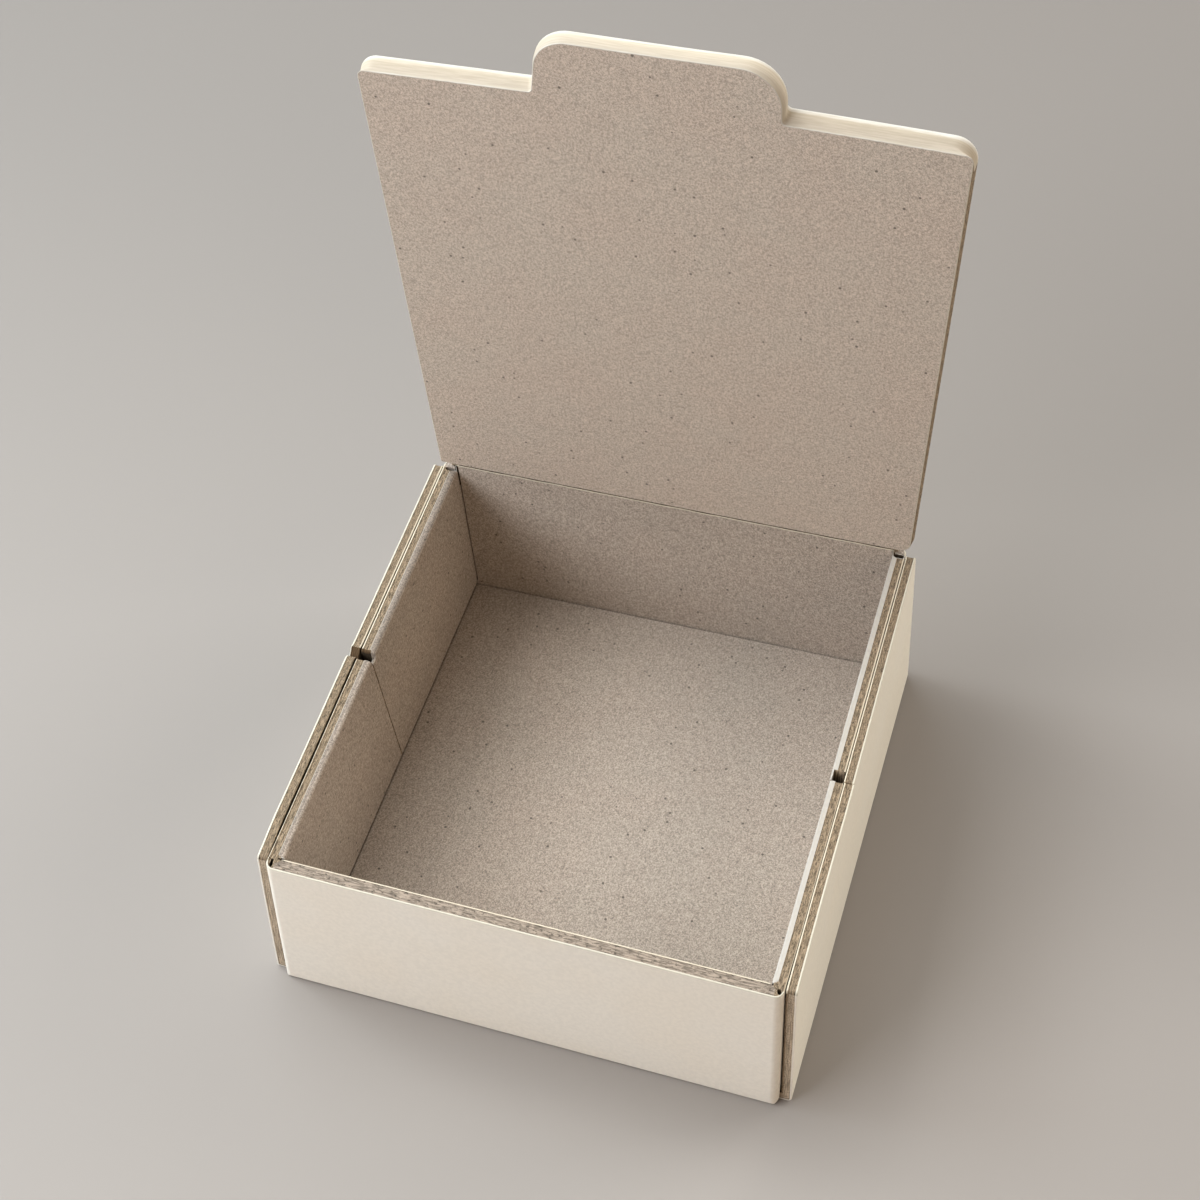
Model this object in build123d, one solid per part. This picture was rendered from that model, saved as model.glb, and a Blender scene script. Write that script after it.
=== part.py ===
from build123d import *
import math
import os

# Folding gift box of thick grey board, cut and folded from one sheet.
# Millimetres. X runs to the right, Y to the back, Z up. The origin is the
# middle of the tray's underside.

# The board and its folds. The side walls are pressed thinner than the rest, and
# the tucked tabs a little
board = 2.3
side_board = 1.75
tab_board = 2.2
fold_radius = 1.4
ply_gap = 0.25
overrun = 5.0

# The tray, over its outer faces
tray_width = 90.0
tray_depth = 94.5
wall_height = 33.8
side_set_back = 1.5
corner_cut_width = 1.3
corner_cut_height = 2.2

# Where the two tabs of a side meet, and the relief at the top of each upright fold
seam_gap = 0.25
seam_corner_radius = 1.8
seam_nick_radius = 0.8
relief_width = 0.9
relief_depth = 1.8
relief_skin = 0.5

# The lid, lying in its own plane. Its free edge is flush with the front wall
# when it is shut, and only the tongue stands out
crease_rise = 1.4
crease_gap = 0.4
lid_crease_inset = 0.75
lid_free_overhang = 1.0
lid_lower_radius = 2.0
lid_corner_radius = 1.8
lid_edge_radius = 1.5
lid_edge_thickness = 3.4
tongue_width = 37.0
tongue_reach = 9.9
tongue_radius = 5.5
tongue_root_radius = 1.0

# Angles in degrees: how far the lid leans forward of upright as it stands
# open, and how far behind upright it can be folded
lid_lean = 5.5
lid_fold_back = 30.0

# Places that follow from the sizes above
half_width = tray_width / 2
half_depth = tray_depth / 2
tab_face = half_width - side_board - ply_gap
tab_inner_face = tab_face - tab_board
back_inner_face = half_depth - board
crease_height = wall_height + crease_rise
lid_foot = crease_gap / 2
lid_length = tray_depth - board
lid_crease_half = half_width - lid_crease_inset
lid_free_half = half_width + lid_free_overhang
mitre_slope = math.tan(math.radians(lid_fold_back / 2))


def channel(span, height):
    """A section of the given span whose two lower corners are folds."""
    block = Pos(0, height / 2) * Rectangle(span, height)
    return fillet(block.vertices().group_by(Axis.Y)[0], fold_radius)


def side_walls():
    """The base with both side walls folded up from it."""
    hollow = Pos(0, board + wall_height / 2) * Rectangle(tray_width - 2 * side_board, wall_height)
    section = channel(tray_width, wall_height) - hollow
    return extrude(Plane.XZ * section, half_depth - side_set_back, both=True)


def end_envelope():
    """The space inside the bottom folds of the front and back walls."""
    return extrude(Plane.YZ * channel(tray_depth, crease_height), half_width, both=True)


def corner_trim(side):
    """The slanted trim at the foot of an end wall's upright folds."""
    slant = make_face(
        Polyline(
            (side * (tab_face - 2 * corner_cut_width), -corner_cut_height),
            (side * (tab_face + corner_cut_width), 2 * corner_cut_height),
            (side * (tab_face + corner_cut_width), -corner_cut_height),
            close=True,
        )
    )
    return extrude(Plane.XZ * slant, tray_depth, both=True)


def end_walls_and_tabs():
    """The front and back walls with the tabs that turn in behind the side walls."""
    outside = RectangleRounded(2 * tab_face, tray_depth, fold_radius)
    inside = Rectangle(2 * tab_inner_face, tray_depth - 2 * board)
    walls = extrude(outside - inside, wall_height)
    under_tabs = Box(tray_width, tray_depth - 2 * board, 2 * (board + ply_gap))
    seam = Box(tray_width, seam_gap, 2 * wall_height + overrun)
    walls = walls - under_tabs - seam
    top_edges = walls.edges().filter_by(Axis.X).group_by(Axis.Z)[-1]
    walls = fillet([edge for edge in top_edges if abs(edge.center().Y) < board], seam_corner_radius)
    for side in (1, -1):
        walls -= corner_trim(side)
    return walls & end_envelope()


def base_strip():
    """The base where it runs on into the bottom folds of the end walls."""
    strip = Pos(0, 0, board / 2) * Box(2 * (tab_face - corner_cut_width), tray_depth, board)
    return strip & end_envelope()


def back_rise():
    """The top of the back wall, which stands above the tabs up to the crease."""
    top = crease_height - crease_gap / 2
    section = make_face(
        Polyline(
            (back_inner_face, wall_height - board),
            (half_depth, wall_height - board),
            (half_depth, top - board * mitre_slope),
            (back_inner_face, top),
            close=True,
        )
    )
    return extrude(Plane.YZ * section, tab_face - fold_radius, both=True)


def fold_relief(side, end):
    """The notch crushed into the top of an upright fold, which leaves its outer skin."""
    deep_x = tab_board - fold_radius
    deep_y = board - fold_radius
    reach = math.hypot(deep_x, deep_y) + fold_radius - relief_skin
    turn = math.degrees(math.atan2(end * deep_y, side * deep_x))
    corner = Pos(side * tab_inner_face, end * back_inner_face, wall_height)
    slot = Pos((reach - relief_width) / 2) * Box(reach + relief_width, relief_width, 2 * relief_depth)
    return corner * Rot(Z=turn) * slot


def make_tray():
    tray = side_walls() + base_strip() + end_walls_and_tabs()
    tray -= Pos(0, 0, wall_height) * Rot(Y=90) * Cylinder(seam_nick_radius, tray_width + overrun)
    for side in (1, -1):
        for end in (1, -1):
            tray -= fold_relief(side, end)
    return tray + back_rise()


def lid_outline():
    """The lid with its pull tongue, seen square on: x across, y up from the crease."""
    panel = make_face(
        Polyline(
            (-lid_crease_half, lid_foot),
            (lid_crease_half, lid_foot),
            (lid_free_half, lid_length),
            (-lid_free_half, lid_length),
            close=True,
        )
    )
    panel = fillet(panel.vertices().group_by(Axis.Y)[0], lid_lower_radius)
    panel = fillet(panel.vertices().group_by(Axis.Y)[-1], lid_corner_radius)
    tongue = Pos(0, lid_length) * Rectangle(tongue_width, 2 * tongue_reach)
    tongue = fillet(tongue.vertices().group_by(Axis.Y)[-1], tongue_radius)
    outline = panel + tongue
    roots = [
        corner
        for corner in outline.vertices()
        if abs(corner.Y - lid_length) < tongue_root_radius
        and abs(abs(corner.X) - tongue_width / 2) < tongue_root_radius
    ]
    return fillet(roots, tongue_root_radius)


def lid_section():
    """The lid from the side. It thickens from the crease to the turned-over free edge."""
    top = lid_length + tongue_reach
    rise = top + overrun
    thick = board + (lid_edge_thickness - board) * rise / top
    return make_face(Polyline((0, 0), (board, 0), (thick, rise), (0, rise), close=True))


def crease_mitre():
    """The space cleared at the lid's foot so that it can fold back."""
    deep = board + overrun
    return make_face(
        Polyline(
            (0, lid_foot),
            (deep, lid_foot + deep * mitre_slope),
            (deep, -overrun),
            (0, -overrun),
            close=True,
        )
    )


def make_lid():
    """The lid upright on its crease, then leant to where it stands open."""
    panel = extrude(Plane.XZ * lid_outline(), lid_edge_thickness + overrun, dir=(0, 1, 0))
    panel = panel & extrude(Plane.YZ * lid_section(), tray_width, both=True)
    panel = fillet(panel.faces().sort_by(Axis.Y)[-1].edges(), lid_edge_radius)
    panel -= extrude(Plane.YZ * crease_mitre(), tray_width, both=True)
    return Pos(0, back_inner_face, crease_height) * Rot(X=lid_lean) * panel


os.makedirs("parts", exist_ok=True)
export_step(make_tray(), "parts/tray.step")
export_step(make_lid(), "parts/lid.step")
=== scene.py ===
import math

import bmesh
import bpy
from mathutils import Matrix, Vector, noise


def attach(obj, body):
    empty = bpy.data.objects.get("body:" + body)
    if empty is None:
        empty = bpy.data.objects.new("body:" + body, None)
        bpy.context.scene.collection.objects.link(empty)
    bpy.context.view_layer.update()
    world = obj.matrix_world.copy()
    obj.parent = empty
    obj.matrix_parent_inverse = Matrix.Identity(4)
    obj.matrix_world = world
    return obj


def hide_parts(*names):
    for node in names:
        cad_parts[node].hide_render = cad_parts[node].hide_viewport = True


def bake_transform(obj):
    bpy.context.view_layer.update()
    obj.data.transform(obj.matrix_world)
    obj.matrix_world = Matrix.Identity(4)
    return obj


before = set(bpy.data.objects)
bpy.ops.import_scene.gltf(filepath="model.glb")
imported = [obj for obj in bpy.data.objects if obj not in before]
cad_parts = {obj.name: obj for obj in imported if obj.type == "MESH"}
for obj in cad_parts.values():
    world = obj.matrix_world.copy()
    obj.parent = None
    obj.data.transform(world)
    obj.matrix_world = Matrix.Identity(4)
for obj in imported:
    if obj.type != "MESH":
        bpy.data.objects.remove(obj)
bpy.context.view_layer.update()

# Folding gift box of thick grey board with a cream liner outside. Sizes are in millimetres, as in
# the part's source. X runs to the right, Y to the back, Z up. By side, -1 is left and 1 right, and
# by end, -1 is front and 1 back
MM = 0.001

# The board and its folds. Depth in the board is counted over its full thickness. The side walls
# and the right tabs are pressed thinner than that, and the left tabs are swollen
BOARD = 2.3
SIDE_BOARD = 1.75
TAB_BOARD = {-1: 2.7, 1: 2.2}
FOLD_RADIUS = 1.4
BOTTOM_RADIUS = 0.8
PLY_GAP = 0.25

# The layers of a raw edge: the liner, the inner skin and how far the inner edge is rounded over.
# Past an upright fold they change to the tab's own over a short way
FRONT_LAYERS = (0.27, 0.28, 0.13)
SIDE_LAYERS = (0.46, 0.33, 0.13)
TAB_LAYERS = {-1: (0.27, 1.05, 0.7), 1: (0.27, 0.96, 0.35)}
LAYER_CHANGE = 0.7
LINER_ROUND = 0.2

# The light line of liner on the front tabs' edges, and the rounded rim on the left tabs' inner
# edges, painted in shade: where it starts past the fold, how far from the inner face its light
# line stops, and then, by end, its band of painted shade
FRONT_PLY_LINE = 0.1
RIM_START = 0.3
RIM_LINE = 0.86
RIM_FADE = {-1: 0.55, 1: 0.12}

# How a raw edge is cut: how far its core lies lower and how rough it is, how far the whole edge
# waves, and how far in from a raw end the same holds. The pitches set how fast the noise changes
# in a millimetre, and the seeds keep the edges apart
CORE_SINK = 0.1
CORE_ROUGH = 0.08
CORE_PITCH = (0.9, 6)
EDGE_WAVE = 0.06
WAVE_PITCH = 0.11
END_REACH = 0.6
END_ROUND = 0.05
END_SEED, SIDE_SEED, CREASE_SEED, LID_SEED = 7, 5, 9, 4

# The tray. The right wall leans in at the top, the left one does behind the middle and leans out
# before it, and its front end curls in
TRAY_WIDTH = 90.0
TRAY_DEPTH = 94.5
WALL_HEIGHT = 33.8
SIDE_SET_BACK = 1.5
SIDE_END_ROUND = 0.7
SIDE_LEAN = 0.05
LEAN_CHANGE = 1.0
SIDE_CURL = 0.22
SIDE_CURL_REACH = 9.0
BASE_HALF = 41.1

# How far the bottom folds run up into the end walls, and the feet of the upright folds, with where
# each is trimmed and how high. Then the fine slots along the inner corners and beside the tabs
FOLD_LAP = 3.0
FOLD_FOOT = 0.02
FOLD_CHAMFER = {-1: (1.3, 0.7), 1: (0.6, 1.2)}
CREVICE_WIDTH = 0.25
CREVICE_DEPTH = 0.6
CORNER_OPEN = {-1: 1.0, 1: 0.35}
GROOVE_WIDTH = 0.12
GROOVE_DEPTH = 0.3
GROOVE_EDGE = 1.0003

# The box as folded is not quite square. By side, how far it stands to the right of its place, at
# the foot and the top, each at the front and the back: first the side wall, then the inner faces
# of its tabs. Then how far the tabs stand from the wall, at the front and the back, beyond the
# ply gap, how far each end of the front wall is turned out and how far its foot stands forward
WALL_SHIFT = {-1: ((-0.8, -0.6), (0.9, -1.62)), 1: ((0.1, 1.5), (-0.45, 0.1))}
TAB_SHIFT = {-1: ((1.05, 0.1), (0.67, -1.55)), 1: ((0.0, 0.0), (-0.35, 0.1))}
TAB_STAND = {-1: (0.08, -0.1), 1: (-0.12, -0.05)}
FRONT_TURN = 0.45
FRONT_FOOT = 0.35
SETTLE_REACH = 12.0

# Where the two tabs of a side meet at the top, a little forward of the middle, and how much
# further back they meet at the foot
SEAM_PLACE = {-1: -2.5, 1: -6.1}
SEAM_SLANT = {-1: 3.6, 1: 0.0}
SEAM_SLANT_REACH = 30.0
SEAM_GAP = 0.09
SEAM_ROUND_FRONT = 0.3
SEAM_ROUND_BACK = 0.5

# The damage at the seams, where the rear tabs keep only their inner skin: a notch with a pit in
# the left tab, a hole in the right one, a nick in the left wall and a crack in the right one.
# The front half of each side stands out a little where it meets the rear half
SEAM_SKIN = {-1: 0.75, 1: 0.35}
NOTCH_LENGTH = 1.6
NOTCH_SLOPE = 0.15
NOTCH_DEPTH = 2.6
NOTCH_TAPER = 0.6
NOTCH_PIT = 3.0
HOLE_LENGTH = 2.0
HOLE_SLOPE = 0.9
HOLE_DEPTH = 4.5
NICK_DEPTH = 1.3
NICK_LENGTH = 2.2
NICK_SLOPE = 1.5
NICK_SKIN = 0.25
CRACK_DEPTH = 0.4
CRACK_HALF = 0.14
KINK = 0.12
KINK_STEP = (-0.3, 0.1)
KINK_LENGTH = 25.0

# The crushed pockets at the tops of the upright folds, by side and end. Each is a line from one
# place to another and half its width, where the places run out from the inner corner of the
# fold, across the tab and across the end wall
POCKETS = {
    (-1, 1): ((0.6, 0.1, 1.8, 0.12, 0.28), (0.0, 0.0, 0.6, 0.05, 0.07)),
    (1, 1): ((0.55, 0.12, 1.7, 0.12, 0.3),),
    (-1, -1): ((0.0, 0.0, 0.9, 0.05, 0.1), (1.85, 0.6, 1.8, 1.55, 0.2)),
    (1, -1): ((0.05, 0.05, 0.15, 0.1, 0.14), (1.4, 0.95, 1.55, 1.25, 0.25)),
}
POCKET_DEPTH = 4.0
POCKET_SLOPE = 0.05
POCKET_LIP = 0.22
CORNER_CAP = 0.4

# The crease, with the slot behind its lip and the liner that runs over its outside
CREASE_RISE = 1.4
CREASE_GAP = 0.27
CREASE_LIP = 0.16
CREASE_SLOT = 0.8
CREASE_WAVER = 0.1
CREASE_PITCH = 0.25
LID_LEAN = math.radians(5.5)
FOLD_BACK = math.radians(30.0)
CREASE_LOW = -FOLD_BACK / 2
CREASE_HIGH = FOLD_BACK / 2 + LID_LEAN
STRIP_THICKNESS = 0.35
STRIP_LAP = math.radians(4.0)

# The lid, with x counted out from its middle on each side. Its edges lift toward the outer face,
# where the liner is turned over the free edge, and its inner edge is a little ragged there
LID_LENGTH = 92.2
LID_CREASE_LEFT = 44.8
LID_CREASE_RIGHT = 43.8
LID_FREE_LEFT = 46.4
LID_FREE_RIGHT = 46.65
LID_EDGE_THICKNESS = 3.4
LID_EDGE_RADIUS = 1.5
LID_SKIN_ROUND = 0.12
LID_LOWER_LEFT = 0.5
LID_LOWER_RIGHT = 2.0
LID_CORNER_INNER = 1.3
LID_CORNER_LEFT = 3.0
LID_CORNER_RIGHT = 3.8
LID_RIM_SHIFT = 0.2
LID_RIM_LIFT = {-1: 1.2, 1: 1.35}
LID_SHOULDERS = {-1: (-0.5, 0.25), 1: (0.95, 0.0)}
LID_BEVEL = 0.7
LID_BEND = 0.6
LID_RAGGED = 0.07
RAGGED_REACH = 1.0
RAGGED_PITCH = 1.3

# The lid's pull tongue. A pair gives a place at the inner face and at the outer one
TONGUE_ROOT_LEFT = (18.65, 18.85)
TONGUE_CROWN_LEFT = (17.3, 17.55)
TONGUE_RIGHT = (19.0, 19.4)
TONGUE_REACH = 10.05
TONGUE_RADIUS = {-1: 5.5, 1: 6.5}
TONGUE_ROOT = 0.7
TONGUE_LIFT = 0.35

# Shares of the lid's thickness, from the inner face: those of its outlines, those between which
# its corners and its edges change, and where the raw core of its sides and its ragged edge lie
LID_SHARES = (
    0, 0.012, 0.03, 0.06, 0.1, 0.16, 0.24, 0.32, 0.4, 0.48, 0.55, 0.62, 0.69, 0.76, 0.82, 0.88,
    0.93, 0.97, 0.99, 1,
)
LID_TURN = (0.01, 0.3)
LID_LIFT = (0.05, 0.75)
LID_CORE = (0.04, 0.8)
RAGGED_SHARE = 0.05

# How finely the sheets are divided
STEP = 0.7
FINE_STEP = 0.1
LAYER_STEP = 0.2
WALL_STEP = 6.0
BASE_STEP = 8.0
BASE_END = 1.0
WIDE_STEP = 4.0
HAIR = FINE_STEP / 10
LEAST_STEP = FINE_STEP / 20
LEAST_RADIUS = 0.02
ARC_STEPS = 10
CREVICE_STEPS = 12
STRIP_STEPS = 12
FOLD_ROWS = (0, 0.003, 0.007, 0.012, 0.018, 0.025, 0.033, 0.042, 0.075, 0.25, 0.5, 0.75, 1)
LID_COUNTS = (90, 90, 50, 6, 50, 6, 50, 90)
LID_GAUGE = 4

# The depths in a sheet's rounded liner, shares of its inner edge's rounding, and how far before
# and past the limits of its core there is a level
LINER_LEVELS = (0, 0.02, 0.06, 0.12)
ROUNDING_SHARES = (0, 0.4, 0.7, 0.9)
CORE_START = (0.02, 0.04)
CORE_STOP = (0.03, 0.02)

# Points nearer than this are joined, and edges sharper than this stay sharp
WELD = 0.002
SHARP_ANGLE = math.radians(40)

HALF_WIDTH = TRAY_WIDTH / 2
HALF_DEPTH = TRAY_DEPTH / 2
TAB_FACE = HALF_WIDTH - SIDE_BOARD - PLY_GAP
TAB_INNER = {side: TAB_FACE - thick for side, thick in TAB_BOARD.items()}
TAB_SCALE = {side: thick / BOARD for side, thick in TAB_BOARD.items()}
SIDE_SCALE = SIDE_BOARD / BOARD
TAB_FOOT = BOARD + PLY_GAP
BACK_INNER = HALF_DEPTH - BOARD
END_HALF = TAB_FACE - FOLD_RADIUS
CREASE_HEIGHT = WALL_HEIGHT + CREASE_RISE
LID_FOOT = CREASE_GAP / 2
LID_TOP = LID_LENGTH + TONGUE_REACH
MITRE = math.tan(FOLD_BACK / 2)
ARC = FOLD_RADIUS * math.pi / 2
BOTTOM_ARC = BOTTOM_RADIUS * math.pi / 2

# What the faces of the tray and the lid show, in the order of their materials
(
    LINER_FACE, GREY_FACE, LINER_EDGE, CORE, SKIN_EDGE, FRONT_CORE, PLY_LINE, SHADOW_CORE, NICK_SHADE_CORE,
    END_CORE, SHADED_RIGHT_FACE, RIM_SHADED_LINE, RIM_SHADE_FACE,
) = range(13)
LID_INNER, LID_OUTER, LID_SIDE_CORE, LID_SIDE_LINER, LID_FREE_EDGE = range(5)


def spread(start, end, step):
    """Evenly spaced values from start to end, about step apart."""
    count = max(1, round(abs(end - start) / step))
    return [start + (end - start) * i / count for i in range(count + 1)]


def chain(*runs):
    """Several runs of values as one rising list without repeats."""
    values = sorted(value for run in runs for value in run)
    kept = values[:1]
    for value in values[1:]:
        if value - kept[-1] > LEAST_STEP:
            kept.append(value)
    return kept


def ease(low, high, value):
    """Rises smoothly from 0 at low to 1 at high."""
    t = min(1, max(0, (value - low) / (high - low)))
    return t * t * (3 - 2 * t)


def side_of(x):
    """The side that a place lies on: -1 left, 1 right."""
    return math.copysign(1, x)


def turn_in(offset, limit):
    """A coordinate kept between a corner's limits."""
    return min(limit, max(-limit, offset))


def round_over(radius, past):
    """How far a rounded edge falls away, past counted from where the rounding starts."""
    past = min(radius, max(0, past))
    return radius - math.sqrt(radius ** 2 - past ** 2)


def board_levels(*kinds):
    """Depths through a sheet, from its outer face to its inner one, that follow its layers."""
    levels = [*LINER_LEVELS, LINER_ROUND, BOARD]
    for liner, skin, rounding in kinds:
        core, face = BOARD - skin, BOARD - rounding
        levels += [face + rounding * share for share in ROUNDING_SHARES]
        levels += spread(liner + CORE_START[1], core - CORE_STOP[0], LAYER_STEP)
        levels += [liner - CORE_START[0], core + CORE_STOP[1]]
    return chain(levels)


def edge_drop(along, depth, seed, layers):
    """How far a raw edge lies below its full height at a depth in the board."""
    liner, skin, rounding = layers
    drop = EDGE_WAVE * (0.5 + 0.5 * noise.noise((along * WAVE_PITCH, seed, 0)))
    drop += round_over(LINER_ROUND, LINER_ROUND - depth)
    drop += round_over(rounding, rounding - (BOARD - depth))
    if liner < depth < BOARD - skin:
        rough = noise.noise((along * CORE_PITCH[0], depth * CORE_PITCH[1], seed))
        drop += CORE_SINK + CORE_ROUGH * rough
    return drop


def edge_material(depth, layers):
    """The layer of the board that a raw edge shows at a depth."""
    liner, skin, _ = layers
    if depth < liner:
        return LINER_EDGE
    if depth > BOARD - skin:
        return SKIN_EDGE
    return CORE


def add_object(name, data):
    """A new object in the scene."""
    made = bpy.data.objects.new(name, data)
    bpy.context.scene.collection.objects.link(made)
    return made


class Sheets:
    """Collects the faces of folded sheets that make one piece."""

    def __init__(self):
        self.points = []
        self.faces = []
        self.paint = []
        self.maps = []

    def add_face(self, corners, material, places):
        """Adds a face by its points, its material and its corners' places on the board."""
        self.faces.append(corners)
        self.paint.append(material)
        self.maps.append(places)

    def add_slab(
        self, along, shares, levels, place, low, high, layers, ends=CORE, paint=None, sides=None
    ):
        """Adds a sheet of board: along lists its columns, shares its rows from the low edge to the
        high one and levels its depths, and place puts (along, up, depth) in space. layers gives
        the layers at a column, paint the layer that the high edge shows and sides the materials of
        the outer and inner faces. ends is the core shown at the raw ends, or None where the sheet
        runs on."""
        index = {}
        last_i, last_j, last_k = len(along) - 1, len(shares) - 1, len(levels) - 1
        middle = (along[0] + along[-1]) / 2

        def point(i, j, k):
            if (i, j, k) not in index:
                depth = levels[k]
                s = along[i]
                foot, top = low(s, depth), high(s, depth)
                up = foot + (top - foot) * shares[j]
                gone = min(s - along[0], along[-1] - s)
                if ends is not None and gone < END_REACH:
                    liner, skin, rounding = layers(s)
                    cut = liner, skin, min(rounding, END_ROUND)
                    drop = edge_drop(up, depth, END_SEED, cut) * (1 - gone / END_REACH)
                    s += math.copysign(drop, middle - s)
                index[i, j, k] = (len(self.points), s, up, depth)
                self.points.append(place(s, up, depth))
            return index[i, j, k]

        def face(corners, material, axes):
            first, second = axes
            found = [point(*corner) for corner in corners]
            places = [(p[first], p[second]) for p in found]
            self.add_face([p[0] for p in found], material, places)

        for i in range(last_i):
            s = (along[i] + along[i + 1]) / 2
            outer, inner = sides(s) if sides else (LINER_FACE, GREY_FACE)
            for j in range(last_j):
                for k, material in ((0, outer), (last_k, inner)):
                    corners = (i, j, k), (i + 1, j, k), (i + 1, j + 1, k), (i, j + 1, k)
                    face(corners, material, (1, 2))
            near = [(i, 0, k) for k in (range(last_k + 1) if i == 0 else (0, last_k))]
            far = [(i + 1, 0, k) for k in (range(last_k + 1) if i + 1 == last_i else (0, last_k))]
            face(near + far[::-1], CORE, (1, 3))
            for k in range(last_k):
                depth = (levels[k] + levels[k + 1]) / 2
                layer = paint(s, depth) if paint else edge_material(depth, layers(s))
                j = last_j
                corners = (i, j, k), (i + 1, j, k), (i + 1, j, k + 1), (i, j, k + 1)
                face(corners, layer, (1, 3))
        for i in (0, last_i):
            for k in range(last_k):
                layer = edge_material((levels[k] + levels[k + 1]) / 2, layers(along[i]))
                # At a raw end the inner skin is painted with the core's brown in place of its light
                # tone: painted shade in the gap beside the end.
                layer = {LINER_EDGE: LINER_FACE, SKIN_EDGE: CORE}.get(layer, ends or CORE)
                for j in range(last_j):
                    corners = (i, j, k), (i, j + 1, k), (i, j + 1, k + 1), (i, j, k + 1)
                    face(corners, layer, (2, 3))

    def make(self, name, materials):
        """The piece as an object. Its map 'sheet' holds places on the board in millimetres."""
        mesh = bpy.data.meshes.new(name)
        mesh.from_pydata([p * MM for p in self.points], [], self.faces)
        for material in materials:
            mesh.materials.append(material)
        layer = mesh.uv_layers.new(name="sheet")
        for polygon in mesh.polygons:
            polygon.material_index = self.paint[polygon.index]
            polygon.use_smooth = True
            for loop, place in zip(polygon.loop_indices, self.maps[polygon.index]):
                layer.data[loop].uv = place
        work = bmesh.new()
        work.from_mesh(mesh)
        bmesh.ops.remove_doubles(work, verts=work.verts, dist=WELD * MM)
        bmesh.ops.recalc_face_normals(work, faces=work.faces)
        work.to_mesh(mesh)
        work.free()
        mesh.set_sharp_from_angle(angle=SHARP_ANGLE)
        piece = add_object(name, mesh)
        weighted = piece.modifiers.new("weighted", "WEIGHTED_NORMAL")
        weighted.keep_sharp = True
        return piece


def crevice(share):
    """The fine slot along an inner corner, as (across, deep). share runs from the first face to
    the second."""
    if share < 1 / 3:
        return -CREVICE_WIDTH, CREVICE_DEPTH * share * 3
    if share < 2 / 3:
        return -CREVICE_WIDTH * (2 - share * 3), CREVICE_DEPTH
    return 0, CREVICE_DEPTH * (3 - share * 3)


def kink(side, y, up):
    """How far the front half of a side stands out where it meets the rear half."""
    y -= SEAM_PLACE[side]
    front = 1 - ease(*KINK_STEP, y)
    return KINK * (up / WALL_HEIGHT) ** 2 * front * (1 - ease(0, KINK_LENGTH, -y))


def leaning(shifts, y, up):
    """A shift given at the foot and the top, each at the front and the back, at a place between."""
    along, rise = (y + HALF_DEPTH) / TRAY_DEPTH, up / WALL_HEIGHT
    foot, top = (front + (rear - front) * along for front, rear in shifts)
    return foot + (top - foot) * rise


def settle(spot, tab=None):
    """Moves a place on a squarely folded tray to where it lies on this one. tab says how far
    through a tab the place lies, from 0 at the outer face to 1 at the inner one."""
    x, y, up = spot
    side = side_of(x)
    rise = min(1, up / WALL_HEIGHT)
    shift = leaning(WALL_SHIFT[side], y, up)
    if tab is not None:
        front, rear = TAB_STAND[side]
        outer = shift - side * (front + (rear - front) * (y + HALF_DEPTH) / TRAY_DEPTH)
        moved = outer + (leaning(TAB_SHIFT[side], y, up) - outer) * tab
        shift = moved + (shift - moved) * ease(HALF_DEPTH - SETTLE_REACH, HALF_DEPTH, -y)
    x += shift * ease(HALF_WIDTH - SETTLE_REACH, END_HALF, abs(x))
    front = ease(HALF_DEPTH - SETTLE_REACH, BACK_INNER, -y)
    y -= front * (FRONT_TURN * spot.x / HALF_WIDTH + FRONT_FOOT * (1 - rise))
    return Vector((x, y, up))


def pocket_gap(corner, across, beyond):
    """How far a place at the top of an upright fold lies from the rim of its nearest pocket, below
    0 inside."""
    gap = BOARD
    for x0, y0, x1, y1, half in POCKETS[corner]:
        run = Vector((x1 - x0, y1 - y0))
        offset = Vector((across - x0, beyond - y0))
        share = min(1, max(0, offset.dot(run) / run.length_squared))
        gap = min(gap, (offset - run * share).length - half)
    return gap


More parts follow.
